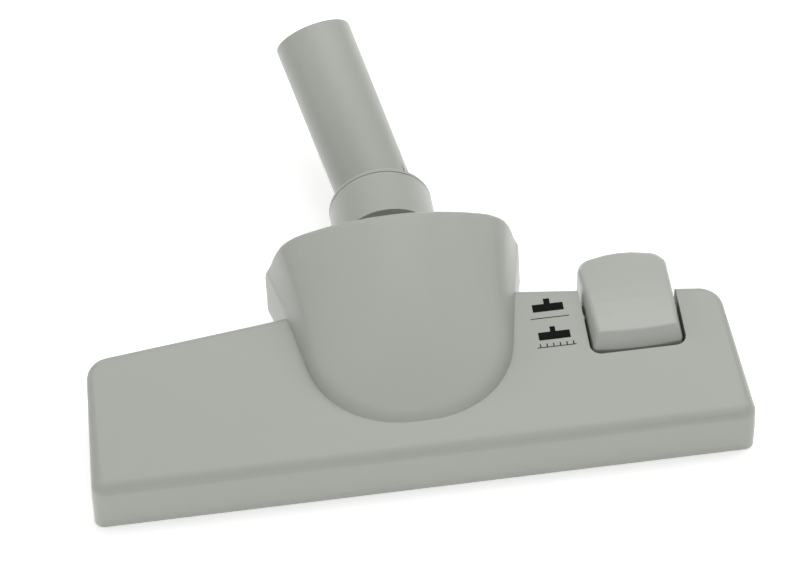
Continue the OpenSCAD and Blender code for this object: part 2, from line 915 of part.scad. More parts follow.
module wheel_pin(side) {
    pin_l = fork_out - wheel_in + wheel_gap + fork_t;
    color(steel)
        translate([side * (fork_out - pin_l / 2), fy(wheel_back), wheel_r])
            rotate([0, 90, 0])
                cylinder(r = wheel_pin_r, h = pin_l, center = true);
}

module left_wheel_pin() {
    wheel_pin(-1);
}

module right_wheel_pin() {
    wheel_pin(1);
}

// Hub of a wheel: rim, web and boss
module wheel_hub(side) {
    rim_t = 1.8;
    color(inner_grey)
        at_wheel(side)
            difference() {
                union() {
                    cylinder(r = wheel_hub_r, h = wheel_rim_w, center = true);
                    cylinder(r = wheel_boss_r, h = wheel_w, center = true);
                }
                for (s = [0, 1])
                    mirror([0, 0, s])
                        translate([0, 0, wheel_web_t / 2])
                            difference() {
                                cylinder(r = wheel_hub_r - rim_t, h = wheel_w);
                                cylinder(r = wheel_boss_r, h = wheel_w);
                            }
                cylinder(r = wheel_pin_r + run_gap, h = wheel_w + over, center = true);
            }
}

module left_wheel() {
    wheel_hub(-1);
}

module right_wheel() {
    wheel_hub(1);
}

module wheel_tyre(side) {
    tyre_edge = 0.8;
    color(rubber_black)
        at_wheel(side)
            rotate_extrude()
                translate([wheel_hub_r, -wheel_rim_w / 2])
                    offset(r = tyre_edge)
                        offset(delta = -tyre_edge)
                            square([tyre_t, wheel_rim_w]);
}

module left_tyre() {
    wheel_tyre(-1);
}

module right_tyre() {
    wheel_tyre(1);
}

// Places what is drawn along the collar's axis
module at_collar(reach) {
    translate([0, fy(pivot_back), pivot_z])
        rotate([-90 - collar_drop, 0, 0])
            translate([0, 0, reach])
                children();
}

// Tilting drum with the collar in one piece
module elbow_collar() {
    color(shell_grey)
        difference() {
            union() {
                pivot_cylinder(drum_r, drum_half);
                pivot_cylinder(journal_r, seat_in + seat_t);
                at_collar(collar_start)
                    cylinder(r = collar_r, h = collar_reach - collar_start);
            }
            at_collar(0)
                cylinder(r = collar_throat_r, h = collar_reach);
            pivot_cylinder(drum_r - drum_wall, drum_half - drum_end_t);
            pivot_cylinder(journal_r - drum_wall, seat_in + seat_t + over);
            pivot_wedge(window_high_angle, window_low_angle, wedge_reach, window_half);
            at_collar(collar_inner_start)
                cylinder(r = collar_inner_r, h = collar_reach - collar_bore_l - collar_inner_start);
            at_collar(collar_inner_start)
                cylinder(r = collar_bore_r, h = collar_reach);
        }
}

// Turns what is drawn along the collar's axis so that its X points into the neck's bend
module at_neck() {
    at_collar(collar_reach)
        rotate([0, 0, -90 - neck_turn])
            children();
}

module neck_arc(r) {
    translate([bend_r, 0, 0])
        rotate([0, 0, 180])
            rotate([90, 0, 0])
                rotate_extrude(angle = neck_bend)
                    translate([bend_r, 0])
                        circle(r = r);
}

// Places what is drawn along the straight tube, from the end of the bend
module at_tube() {
    translate([bend_r * (1 - cos(neck_bend)), 0, bend_r * sin(neck_bend)])
        rotate([0, neck_bend, 0])
            children();
}

// Turning neck: journal, flange, bend and the socket for the wand
module neck_tube() {
    cone_l = 4;
    fillet_out = tube_root_r + neck_fillet - near_gap;
    fillet_top = flange_gap + flange_t + neck_fillet;
    color(shell_grey)
        at_neck()
            difference() {
                union() {
                    translate([0, 0, -journal_l])
                        cylinder(r = journal_out_r, h = journal_l + 2 * flange_gap);
                    translate([0, 0, flange_gap])
                        rotate_extrude()
                            polygon([
                                [0, 0], [flange_r, 0], [flange_r, flange_t - flange_round],
                                [flange_r - flange_round / 3, flange_t - flange_round / 3],
                                [flange_r - flange_round, flange_t], [0, flange_t]
                            ]);
                    rotate_extrude()
                        difference() {
                            square([fillet_out, fillet_top]);
                            translate([fillet_out, fillet_top])
                                circle(r = neck_fillet);
                        }
                    neck_arc(tube_root_r);
                    at_tube()
                        cylinder(r1 = tube_root_r, r2 = tube_mouth_r, h = tube_l);
                }
                neck_arc(passage_r);
                at_tube() {
                    cylinder(r = passage_r, h = tube_l);
                    translate([0, 0, tube_l - socket_l])
                        cylinder(r = socket_r, h = socket_l + over);
                    translate([0, 0, tube_l - mouth_chamfer])
                        cylinder(r1 = socket_r, r2 = socket_r + mouth_chamfer, h = mouth_chamfer);
                }
                translate([0, 0, -journal_l - over])
                    cylinder(r = journal_in_r, h = journal_l - cone_l + over);
                translate([0, 0, -cone_l])
                    cylinder(r1 = journal_in_r, r2 = passage_r, h = cone_l);
                translate([0, 0, -collar_bore_l - lock_play - lock_w])
                    ring_cut(lock_groove_r, lock_w);
                translate([0, 0, -seal_back - seal_w])
                    ring_cut(seal_groove_r, seal_w);
            }
}

module ring_cut(inner, width) {
    difference() {
        cylinder(r = collar_r + over, h = width);
        translate([0, 0, -over])
            cylinder(r = inner, h = width + 2 * over);
    }
}

// Split ring behind the collar's bore
module neck_lock_ring() {
    color(steel)
        at_neck()
            translate([0, 0, -collar_bore_l - lock_play - lock_w])
                rotate_extrude(angle = 360 - lock_split_angle)
                    translate([lock_groove_r, 0])
                        square([lock_out_r - lock_groove_r, lock_w]);
}

module neck_seal_ring() {
    color(felt_grey)
        at_neck()
            translate([0, 0, -seal_back - seal_w])
                rotate_extrude()
                    translate([seal_groove_r, 0])
                        square([journal_out_r - seal_groove_r, seal_w]);
}

// Height of the pedal's top at a distance behind the front edge
function pedal_top_z(back) =
    pedal_mid_z - (pedal_mid_z - pedal_front_z)
        * pow((back - pedal_crest_back) / (pedal_crest_back - pedal_front_back - pedal_front_lean), 2);

// Outer or inset body of the pedal, drawn about the pedal's middle plane
module pedal_solid(inset = 0, extra = 0) {
    r = pedal_edge_r - inset;
    corner = pedal_rear_corner_r;
    top_half = pedal_top_w / 2 - pedal_edge_r;
    base_half = pedal_base_w / 2 - pedal_edge_r;
    corner_x = pedal_base_w / 2 - corner;
    corner_back = pedal_rear_back - pedal_rear_bulge - corner;
    front_top = pedal_front_back + pedal_front_lean + pedal_edge_r;
    hull() {
        for (share = pedal_side_shares) {
            bow = pedal_crown * (1 - share * share);
            for (deep = pedal_depth_shares) {
                half = top_half + deep * (base_half - top_half);
                back = front_top + pedal_front_bow * share * share * (1 - deep) + deep * (corner_back - front_top);
                translate([pedal_x + share * half, fy(back), pedal_top_z(back) - pedal_edge_r + bow])
                    sphere(r = r, $fn = 16);
            }
            rear = pedal_rear_back - pedal_edge_r - pedal_rear_bulge * share * share;
            translate([pedal_x + share * corner_x, fy(rear), pedal_top_z(rear) - pedal_edge_r + bow])
                sphere(r = r, $fn = 16);
            translate([
                pedal_x + share * base_half,
                fy(pedal_front_back + pedal_edge_r + pedal_front_bow * share * share),
                pedal_low_z - extra
            ])
                cylinder(r = r, h = pedal_upright_z - pedal_low_z + extra, $fn = 16);
            translate([pedal_x + share * corner_x, fy(rear), pedal_rear_low_z - extra])
                cylinder(r = r, h = extra + near_gap, $fn = 16);
        }
        for (s = [-1, 1]) {
            translate([
                pedal_x + s * corner_x,
                fy(corner_back),
                pedal_top_z(corner_back + corner / 2) - pedal_edge_r
            ])
                rotate([-top_pitch, 0, 0])
                    rotate_extrude($fn = round_fn)
                        translate([corner - pedal_edge_r, 0])
                            circle(r = r, $fn = 16);
            translate([pedal_x + s * corner_x, fy(corner_back), pedal_rear_low_z - extra])
                cylinder(r = corner - inset, h = pedal_upright_z - pedal_rear_low_z + extra, $fn = round_fn);
        }
    }
}

// Block between two heights and two distances behind the front edge, beside the pedal's middle plane
module pedal_block(x0, x1, back0, back1, low) {
    translate([pedal_x + x0, fy(back0), low])
        cube([x1 - x0, back1 - back0, pedal_mid_z - low]);
}

module pedal_disc(x0, width, r) {
    translate([pedal_x + x0, fy(axle_back), axle_z])
        rotate([0, 90, 0])
            cylinder(r = r, h = width);
}

// Foot pedal with its ears, its detent cam and the pin that lifts the brushes
module pedal() {
    rib_out = pin_rib_in + pin_rib_t;
    color(shell_grey)
        difference() {
            union() {
                difference() {
                    pedal_solid();
                    pedal_solid(pedal_wall, over);
                }
                intersection() {
                    pedal_solid(pedal_wall / 2, pedal_low_z / 2);
                    union() {
                        for (x = [-ear_out, ear_out - ear_t])
                            pedal_block(x, x + ear_t, axle_back - ear_r, axle_back + ear_r, axle_z);
                        pedal_block(-cam_in - cam_t, -cam_in, axle_back - cam_r, axle_back + cam_r, axle_z);
                        for (x = [-rib_out, pin_rib_in])
                            pedal_block(
                                x, x + pin_rib_t,
                                axle_back - pin_arm - pin_rib_reach, axle_back - pin_arm + pin_rib_reach,
                                axle_z - pin_rib_low
                            );
                    }
                }
                for (x = [-ear_out, ear_out - ear_t])
                    pedal_disc(x, ear_t, ear_r);
                pedal_disc(-cam_in - cam_t, cam_t, cam_r);
                translate([pedal_x - rib_out, fy(axle_back - pin_arm), axle_z])
                    rotate([0, 90, 0])
                        cylinder(r = pin_r, h = 2 * rib_out);
            }
            pedal_disc(-pedal_base_w, 2 * pedal_base_w, axle_r + run_gap);
            for (a = [270, 270 - pedal_swing])
                translate([
                    pedal_x - cam_in - cam_t - over,
                    fy(axle_back) + cam_r * cos(a),
                    axle_z + cam_r * sin(a)
                ])
                    rotate([0, 90, 0])
                        cylinder(r = notch_r, h = cam_t + 2 * over, $fn = 32);
        }
}

module pedal_axle() {
    color(steel)
        pedal_disc(-well_half - cheek_t, 2 * (well_half + cheek_t), axle_r);
}

// Leaf spring under the detent cam
module detent_spring() {
    bump_r = spring_rise + spring_t;
    color(steel)
        translate([pedal_x - cam_in - cam_t / 2, fy(axle_back), spring_seat_z])
            rotate([90, 0, 90])
                translate([0, 0, -spring_w / 2])
                    linear_extrude(spring_w)
                        difference() {
                            union() {
                                translate([-spring_half, 0])
                                    square([2 * spring_half, spring_t]);
                                intersection() {
                                    circle(r = bump_r, $fn = 48);
                                    translate([-bump_r, 0])
                                        square([2 * bump_r, bump_r]);
                                }
                            }
                            circle(r = spring_rise, $fn = 48);
                        }
}

// Frame that carries both bristle rows and slides on four posts
module brush_carrier() {
    rail_in = carrier_bar_w / 2 - rail_t;
    lip_in = bar_half - bar_neck;
    slot_front = axle_back - pin_arm - pin_r - slot_play;
    slot_rear = axle_back - pin_arm * cos(pedal_swing) + pin_r + slot_play;
    slot_r = pin_r + pin_play;
    color(inner_grey)
        difference() {
            union() {
                for (back = [front_brush_back, rear_brush_back])
                    translate([0, fy(back), carrier_z])
                        along_x(carrier_half)
                            difference() {
                                translate([-carrier_bar_w / 2, -rail_h])
                                    square([carrier_bar_w, carrier_t + rail_h]);
                                translate([-rail_in, -rail_h + rail_t])
                                    square([2 * rail_in, rail_h - rail_t]);
                                translate([-lip_in, -rail_h - over])
                                    square([2 * lip_in, rail_h]);
                            }
                for (s = [-1, 1], x = [inner_cross_x, outer_cross_x]) {
                    translate([s * x - cross_w / 2, fy(front_brush_back), carrier_z])
                        cube([cross_w, rear_brush_back - front_brush_back, carrier_t]);
                    translate([s * x, fy(channel_back), carrier_z])
                        cylinder(r = guide_boss_r, h = carrier_t);
                }
                translate([pedal_x - lug_half, fy(slot_front - lug_wall), carrier_z])
                    cube([2 * lug_half, slot_rear - slot_front + 2 * lug_wall, axle_z + lug_rise - carrier_z]);
            }
            for (s = [-1, 1], x = [inner_cross_x, outer_cross_x])
                translate([s * x, fy(channel_back), carrier_z - over])
                    cylinder(r = post_r + post_gap, h = carrier_t + 2 * over);
            translate([pedal_x, 0, axle_z])
                along_x(lug_half + over) {
                    translate([fy(slot_front + slot_r), -slot_r])
                        square([slot_rear - slot_front - 2 * slot_r, 2 * slot_r]);
                    for (back = [slot_front + slot_r, slot_rear - slot_r])
                        translate([fy(back), 0])
                            circle(r = slot_r, $fn = 48);
                }
        }
}

// Bar that slides into the carrier's rails from the end
module back_bar(back) {
    low = tip_z + bristle_l;
    neck_low = carrier_z - rail_h - near_gap;
    neck_high = carrier_z - rail_h + rail_t;
    neck_half = bar_half - bar_neck - bar_top_gap;
    color(inner_grey)
        translate([0, fy(back), 0])
            along_x(bristle_row_l / 2 + over)
                union() {
                    translate([-bar_half, low])
                        square([2 * bar_half, neck_low - low]);
                    translate([-neck_half, low])
                        square([2 * neck_half, carrier_z - low]);
                    translate([-bar_half, neck_high])
                        square([2 * bar_half, carrier_z - neck_high]);
                }
}

module front_brush_back_bar() {
    back_bar(front_brush_back);
}

module rear_brush_back_bar() {
    back_bar(rear_brush_back);
}

// Row of tufts on a thin root
module bristle_row(back) {
    tufts = floor((bristle_row_l - bristle_w) / tuft_pitch);
    root_h = tuft_root;
    color(rubber_black) {
        translate([-bristle_row_l / 2, fy(back) - bristle_w / 4, tip_z + bristle_l - root_h])
            cube([bristle_row_l, bristle_w / 2, root_h]);
        for (i = [0 : tufts])
            translate([(i - tufts / 2) * tuft_pitch, fy(back), tip_z])
                cylinder(r = tuft_r, h = bristle_l, $fn = 6);
    }
}

module front_bristles() {
    bristle_row(front_brush_back);
}

module rear_bristles() {
    bristle_row(rear_brush_back);
}

upper_housing();
base_plate();
sole_screws();
front_thread_lifter();
rear_thread_lifter();
air_duct();
duct_seal();
rear_cradle();
cradle_screws();
left_wheel_pin();
right_wheel_pin();
left_wheel();
right_wheel();
left_tyre();
right_tyre();
elbow_collar();
neck_tube();
neck_lock_ring();
neck_seal_ring();
pedal();
pedal_axle();
detent_spring();
brush_carrier();
front_brush_back_bar();
rear_brush_back_bar();
front_bristles();
rear_bristles();
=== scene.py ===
import json
import math

import bmesh
import bpy
from mathutils import Matrix, Vector

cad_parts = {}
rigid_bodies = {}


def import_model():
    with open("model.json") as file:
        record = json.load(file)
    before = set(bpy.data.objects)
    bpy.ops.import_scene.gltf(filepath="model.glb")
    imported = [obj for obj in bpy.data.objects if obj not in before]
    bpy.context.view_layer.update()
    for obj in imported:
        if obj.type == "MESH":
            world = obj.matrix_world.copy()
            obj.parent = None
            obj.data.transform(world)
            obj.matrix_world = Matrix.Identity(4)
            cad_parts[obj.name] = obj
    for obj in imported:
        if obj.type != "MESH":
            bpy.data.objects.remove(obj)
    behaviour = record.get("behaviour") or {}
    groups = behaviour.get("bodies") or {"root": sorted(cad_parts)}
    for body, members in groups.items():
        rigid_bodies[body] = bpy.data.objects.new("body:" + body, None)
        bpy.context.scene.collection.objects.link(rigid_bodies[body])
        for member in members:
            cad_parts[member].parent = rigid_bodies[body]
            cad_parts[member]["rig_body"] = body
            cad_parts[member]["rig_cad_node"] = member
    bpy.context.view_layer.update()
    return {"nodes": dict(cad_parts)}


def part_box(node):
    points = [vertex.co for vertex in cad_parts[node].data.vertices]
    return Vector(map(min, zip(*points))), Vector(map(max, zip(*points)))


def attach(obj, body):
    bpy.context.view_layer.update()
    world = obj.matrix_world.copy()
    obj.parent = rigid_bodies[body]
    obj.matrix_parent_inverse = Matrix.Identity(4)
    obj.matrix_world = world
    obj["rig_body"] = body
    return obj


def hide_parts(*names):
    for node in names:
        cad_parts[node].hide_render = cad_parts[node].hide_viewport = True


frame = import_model()

# Moulded top cover: two wings and the dome in one shell of light grey plastic
# with a fine eroded texture. Its parting edge and the well for the pedal have
# small broken edges, and the dome runs into the wings with a tight fillet.

BACK = 0.056  # the origin lies this far behind the front edge
FRONT_HEIGHT = 0.0256
TOP_SLOPE = 0.1140


def top_height(back):
    """Height of the wings' top face at a distance behind the front edge."""
    return FRONT_HEIGHT + TOP_SLOPE * back


def only(obj):
    """Leaves just one object selected and active."""
    for other in bpy.context.selected_objects:
        other.select_set(False)
    obj.select_set(True)
    bpy.context.view_layer.objects.active = obj


def edit(obj, mode="FACE"):
    """Opens an object's mesh with nothing selected."""
    only(obj)
    bpy.ops.object.mode_set(mode="EDIT")
    bpy.ops.mesh.select_mode(type=mode)
    bpy.ops.mesh.select_all(action="DESELECT")
    return bmesh.from_edit_mesh(obj.data)


def done(obj):
    """Closes the mesh that edit opened."""
    bmesh.update_edit_mesh(obj.data)
    bpy.ops.object.mode_set(mode="OBJECT")


def shell_of(node, name, flatness=0.3):
    """A merged copy of a CAD node, its flat faces made whole again."""
    piece = frame["nodes"][node].copy()
    piece.data = piece.data.copy()
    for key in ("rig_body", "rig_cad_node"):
        if key in piece:
            del piece[key]
    piece.name = name
    piece.data.name = name
    piece.parent = None
    piece.data.materials.clear()
    bpy.context.scene.collection.objects.link(piece)
    edit(piece, "VERT")
    bpy.ops.mesh.select_all(action="SELECT")
    bpy.ops.mesh.remove_doubles(threshold=2e-6)
    bpy.ops.mesh.customdata_custom_splitnormals_clear()
    bpy.ops.mesh.dissolve_limited(angle_limit=math.radians(flatness))
    done(piece)
    return piece


def apply(obj, name):
    only(obj)
    bpy.ops.object.modifier_apply(modifier=name)


def break_edges(piece, width, angle=40):
    """Small rounds on all the edges that are sharper than an angle."""
    trim = piece.modifiers.new("broken_edges", "BEVEL")
    trim.width = width
    trim.segments = 2
    trim.limit_method = "ANGLE"
    trim.angle_limit = math.radians(angle)
    apply(piece, "broken_edges")


def soften(piece, angle=32, group=""):
    """Smooth shading that keeps the flat faces flat, or those of a group."""
    only(piece)
    bpy.ops.object.shade_smooth_by_angle(angle=math.radians(angle))
    even = piece.modifiers.new("even", "WEIGHTED_NORMAL")
    even.keep_sharp = True
    even.vertex_group = group
    apply(piece, "even")


def dress(piece, body, finish, *nodes, slot=None):
    """Gives a piece its material, its body and the CAD nodes it stands for."""
    piece.data.materials.clear()
    piece.data.materials.append(finish)
    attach(piece, body)
    if nodes:
        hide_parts(*nodes)


class Wire:
    """A socket of a material, on which sums can be written."""

    def __init__(self, finish, socket):
        self.finish, self.socket = finish, socket

    def sum(self, operation, a, b):
        return self.finish.add("ShaderNodeMath", {0: a, 1: b}, operation=operation)

    def __add__(self, other):
        return self.sum("ADD", self, other)

    def __radd__(self, other):
        return self.sum("ADD", other, self)

    def __rmul__(self, other):
        return self.sum("MULTIPLY", other, self)


class Finish:
    """A material that is built up node by node."""

    def __init__(self, name, **values):
        self.material = bpy.data.materials.new(name)
        self.material.use_nodes = True
        self.tree = self.material.node_tree
        self.shader = next(n for n in self.tree.nodes if n.type == "BSDF_PRINCIPLED")
        for socket, value in values.items():
            self.shader.inputs[socket.replace("_", " ")].default_value = value
        self.place = self.add("ShaderNodeTexCoord", {}, out="Object")

    def add(self, kind, links, out=0, **settings):
        node = self.tree.nodes.new(kind)
        for key, value in settings.items():
            setattr(node, key, value)
        for socket, value in links.items():
            if isinstance(value, Wire):
                self.tree.links.new(value.socket, node.inputs[socket])
            else:
                node.inputs[socket].default_value = value
        return Wire(self, node.outputs[out])

    def noise(self, scale, detail=2.0, roughness=0.5, stretch=None):
        at = self.place
        if stretch:
            at = self.add("ShaderNodeMapping", {"Vector": at, "Scale": stretch})
        return self.add(
            "ShaderNodeTexNoise",
            {"Vector": at, "Scale": scale, "Detail": detail, "Roughness": roughness},
        )

    def mottle(self, factor, dark, light):
        """Base colour between a dark and a light tone."""
        mixed = self.add(
            "ShaderNodeMix",
            {0: factor, 6: (*dark, 1), 7: (*light, 1)},
            out=2,
            data_type="RGBA",
        )
        self.feed("Base Color", mixed)

    def feed(self, socket, wire):
        self.tree.links.new(wire.socket, self.shader.inputs[socket])

    def bump(self, height, strength, distance, under=None):
        links = {"Height": height, "Strength": strength, "Distance": distance}
        if under:
            links["Normal"] = under
        return self.add("ShaderNodeBump", links)


def moulded(name, light, dark, rough=0.42, grain=0.16):
    """Injection-moulded plastic with a fine eroded texture."""
    finish = Finish(name, IOR=1.47, Specular_IOR_Level=0.4)
    finish.mottle(finish.noise(9.0, 3.0, 0.55), dark, light)
    spark = finish.noise(2600.0, 2.0, 0.6)
    smear = finish.noise(45.0, 4.0, 0.6, stretch=(1.0, 2.2, 1.0))
    finish.feed("Roughness", rough + 0.07 * smear + 0.06 * spark)
    wave = finish.bump(finish.noise(70.0, 1.0, 0.4), 0.25, 0.00004)
    finish.feed("Normal", finish.bump(spark, grain, 0.00006, under=wave))
    return finish.material


shell_plastic = moulded(
    "light_grey_moulded_plastic", (0.415, 0.435, 0.395), (0.39, 0.412, 0.372)
)
cover = shell_of("upper_housing", "moulded_top_cover")

DOME_HALF = 0.06
CREASE_ANGLE = math.radians(12)


def crease(edge):
    """True where the dome meets the wings' top face."""
    if len(edge.link_faces) != 2 or edge.calc_face_angle_signed(0.0) > -CREASE_ANGLE:
        return False
    middle = (edge.verts[0].co + edge.verts[1].co) / 2
    back = middle.y + BACK
    return (
        abs(middle.x) < DOME_HALF
        and 0.012 < back < 0.082
        and abs(middle.z - top_height(back)) < 0.0006
    )


mesh = edit(cover, "EDGE")
for edge in mesh.edges:
    edge.select = crease(edge)
bmesh.update_edit_mesh(cover.data)
bpy.ops.mesh.bevel(offset=0.0014, segments=3, affect="EDGES", clamp_overlap=True)
done(cover)


def shoulder(face):
    """True for the large faces of the dome's rear flanks and shoulders."""
    place = face.calc_center_median()
    return (
        face.calc_area() > 4e-6
        and place.z > 0.036
        and place.y + BACK > 0.045
        and abs(place.x) > 0.016
        and max(v.co.y for v in face.verts) + BACK > 0.075
    )


# The dome's rear shoulders are fuller than the plain solid's
mesh = edit(cover, "FACE")
for face in mesh.faces:
    face.select = shoulder(face)
bmesh.update_edit_mesh(cover.data)
bpy.ops.mesh.quads_convert_to_tris()
bpy.ops.mesh.subdivide(number_cuts=3)
done(cover)

LEVELS = 7
FULLNESS = 0.112
bpy.ops.object.add(type="LATTICE", location=(0, 0.022, 0.0445))
cage = bpy.context.object
cage.scale = (0.12, 0.044, 0.023)
cage.data.points_u, cage.data.points_v, cage.data.points_w = 3, 2, LEVELS
for axis in "uvw":
    setattr(cage.data, "interpolation_type_" + axis, "KEY_LINEAR")
for i, point in enumerate(cage.data.points):
    level = i // 6 / (LEVELS - 1)
    if i % 6 >= 3:
        widening = FULLNESS * (3 - 2 * level) * level * level
        point.co_deform.x += widening * point.co.x
cover.modifiers.new("swell", "LATTICE").object = cage
apply(cover, "swell")
bpy.data.objects.remove(cage)

break_edges(cover, 0.0003)
flat = [
    v.index
    for v in cover.data.vertices
    if abs(v.co.x) > 0.058 or v.co.z < top_height(v.co.y + BACK) + 0.0015
]
cover.vertex_groups.new(name="wings").add(flat, 1.0, "REPLACE")
soften(cover, group="wings")
dress(cover, "head", shell_plastic, "upper_housing", slot="shell")

# Sole plate: a moulding of the same grey plastic, screwed on from below.
# Its edge shows under the cover as a narrow band below the joint line.

sole = shell_of("base_plate", "sole_plate")
break_edges(sole, 0.00035)
soften(sole)
dress(sole, "head", shell_plastic, "base_plate", slot="sole")

# Foot pedal: a crowned cap of the same plastic, smoother where shoes polish it. Its base
# colour is painted a little lighter all over than the cover's, as painted light for the
# brighter light its raised, crowned top catches. It rocks on a steel axle between carpet
# and hard floor.

# A lighter copy of the shell plastic: painted light on the pedal, not a different plastic
pedal_plastic_painted_lighter = moulded(
    "pedal_plastic_painted_lighter", (0.46, 0.48, 0.44), (0.44, 0.46, 0.42), rough=0.36, grain=0.1
)
pedal = shell_of("pedal", "foot_pedal")
soften(pedal, 38)
dress(pedal, "pedal", pedal_plastic_painted_lighter, "pedal", slot="pedal")

# Drum and collar: one hollow moulding of the light grey plastic. Its two
# journals lie between cover and cradle, and the whole tilts on them.

collar = shell_of("elbow_collar", "drum_and_collar")
soften(collar, 30)
dress(collar, "elbow", shell_plastic, "elbow_collar", slot="shell")

# Bent neck tube: a moulding of the light grey plastic that turns in the
# collar, with a fine gap to it, and takes the wand in its upper end.

neck = shell_of("neck_tube", "bent_neck_tube", flatness=0.001)
break_edges(neck, 0.0004, 70)
soften(neck, 14)
dress(neck, "neck", shell_plastic, "neck_tube", slot="shell")

# Printed signs beside the pedal: a carpet and a hard floor with bristles, in
# dark pad print on the wing's top face.

INK = 0.00006
print_ink = Finish("dark_pad_print", IOR=1.4, Roughness=0.8, Specular_IOR_Level=0.12)
print_ink.mottle(print_ink.noise(900.0), (0.006, 0.007, 0.006), (0.010, 0.011, 0.009))


def printed_bar(x0, x1, back0, back1):
    """One printed bar, lying on the sloping top face."""
    bpy.ops.mesh.primitive_cube_add(size=1.0, location=(0, 0, 0))
    bar = bpy.context.object
    deep = (back1 - back0) * math.hypot(1.0, TOP_SLOPE)
    middle = (back0 + back1) / 2
    bar.data.transform(Matrix.Diagonal((x1 - x0, deep, INK, 1.0)))
    bar.data.transform(Matrix.Rotation(math.atan(TOP_SLOPE), 4, "X"))
    bar.data.transform(
        Matrix.Translation(
            ((x0 + x1) / 2, middle - BACK, top_height(middle) + INK / 4)
        )
    )
    return bar


def sign(name, bars):
    """One sign, joined from its bars."""
    made = [printed_bar(*bar) for bar in bars]
    only(made[0])
    for bar in made:
        bar.select_set(True)
    bpy.ops.object.join()
    piece = bpy.context.object
    piece.name = name
    dress(piece, "head", print_ink.material)


TICK, TICK_PITCH = 0.0005, 0.00295
ticks = [0.0571 + TICK_PITCH * i for i in range(6)]
sign(
    "carpet_sign",
    [
        (0.0570, 0.0708, 0.0644, 0.0684),
        (0.0624, 0.0652, 0.0684, 0.0711),
        (0.0553, 0.0725, 0.0608, 0.0612),
    ],
)
sign(
    "hard_floor_sign",
    [
        (0.0573, 0.0714, 0.0495, 0.0536),
        (0.0628, 0.0652, 0.0536, 0.0562),
        (0.0558, 0.0732, 0.0455, 0.0459),
    ]
    + [(x, x + TICK, 0.0459, 0.0476) for x in ticks],
)

# Bristle rows: tufts of black nylon, stapled into slide-in bars. Each tuft
# fans out a little towards its tips.

TUFTS, TUFT_PITCH = 53, 0.0046
STRANDS, STRAND_R = 16, 0.00022
TUFT_R, FAN, UNEVEN = 0.0011, 0.00078, 0.0004
GOLDEN_TURN = 2.399963

bristle_nylon = Finish("black_nylon_bristle", IOR=1.53, Roughness=0.4)
bristle_nylon.mottle(
    bristle_nylon.noise(500.0), (0.006, 0.006, 0.006), (0.02, 0.02, 0.019)
)

for node in ("front_bristles", "rear_bristles"):
    low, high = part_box(node)
    length = high.z - low.z
    bpy.ops.mesh.primitive_cylinder_add(
        vertices=4, radius=STRAND_R, depth=length, location=(0, 0, 0)
    )
    strand = bpy.context.object
    strand_mesh = strand.data
    strand_mesh.transform(Matrix.Translation((0, 0, -length / 2)))
    row = bmesh.new()
    for t in range(TUFTS):
        root = Vector(((t - (TUFTS - 1) / 2) * TUFT_PITCH, (low.y + high.y) / 2, high.z))
        for k in range(STRANDS):
            turn = GOLDEN_TURN * k + 0.7 * t
            spread = math.sqrt((k + 0.5) / STRANDS)
            side = Vector((math.cos(turn), math.sin(turn), 0)) * spread
            short = UNEVEN * abs(math.sin(3.1 * k + 1.7 * t))
            start = len(row.verts)
            row.from_mesh(strand_mesh)
            row.verts.ensure_lookup_table()
            for v in row.verts[start:]:
                down = -v.co.z / length
                v.co += side * (TUFT_R + FAN * down * down)
                v.co.z += short * down
                v.co += root
    bpy.data.objects.remove(strand)
    data = bpy.data.meshes.new(node + "_tufts")
    row.to_mesh(data)
    row.free()
    tuft_row = bpy.data.objects.new(node + "_tufts", data)
    bpy.context.scene.collection.objects.link(tuft_row)
    dress(tuft_row, "brushes", bristle_nylon.material, node, slot="bristle")

# Inner mouldings, pins, springs, seals and wheels: plastic, drawn steel,
# rubber, felt and red pile. They keep their solids and get the real finish.

inner_plastic = moulded(
    "dark_grey_inner_plastic",
    (0.10, 0.105, 0.10),
    (0.085, 0.09, 0.085),
    rough=0.5,
    grain=0.1,
)
hub_plastic = moulded(
    "hub_plastic", (0.05, 0.05, 0.05), (0.04, 0.04, 0.04), rough=0.45, grain=0.1
)

steel = Finish("drawn_steel", Metallic=1.0)
steel.mottle(steel.noise(300.0), (0.5, 0.5, 0.49), (0.62, 0.62, 0.61))
steel.feed("Roughness", 0.28 + 0.2 * steel.noise(800.0, 3.0))

rubber = Finish("soft_tyre_rubber", IOR=1.5)
rubber.mottle(rubber.noise(60.0), (0.012, 0.012, 0.012), (0.022, 0.022, 0.021))
rubber.feed("Roughness", 0.6 + 0.2 * rubber.noise(400.0))
rubber.feed("Normal", rubber.bump(rubber.noise(1500.0), 0.3, 0.0001))


def pile(name, light, dark, scale):
    """Short-pile or felted textile."""
    finish = Finish(name, Sheen_Weight=0.3, Roughness=0.9)
    fibre = finish.noise(scale, 4.0, 0.65, stretch=(1.0, 0.35, 1.0))
    finish.mottle(fibre, dark, light)
    finish.feed("Normal", finish.bump(fibre, 0.6, 0.0003))
    return finish.material


lint_pile = pile("red_thread_lifter_pile", (0.38, 0.03, 0.03), (0.12, 0.008, 0.008), 2400.0)
felt = pile("grey_felt", (0.16, 0.16, 0.155), (0.05, 0.05, 0.05), 1800.0)

FINISHES = [
    (
        inner_plastic,
        "air_duct rear_cradle brush_carrier front_brush_back_bar rear_brush_back_bar",
    ),
    (hub_plastic, "left_wheel right_wheel"),
    (rubber.material, "left_tyre right_tyre"),
    (lint_pile, "front_thread_lifter rear_thread_lifter"),
    (felt, "duct_seal neck_seal_ring"),
    (
        steel.material,
        "sole_screws cradle_screws left_wheel_pin right_wheel_pin"
        " neck_lock_ring pedal_axle detent_spring",
    ),
]
for finish, names in FINISHES:
    for node in names.split():
        slots = frame["nodes"][node].data.materials
        slots.clear()
        slots.append(finish)

# Pale floor of white paper, a hair below the sole. It shows white to the
# camera, keeps the head's soft shadow, and is a bright sweep in reflections.

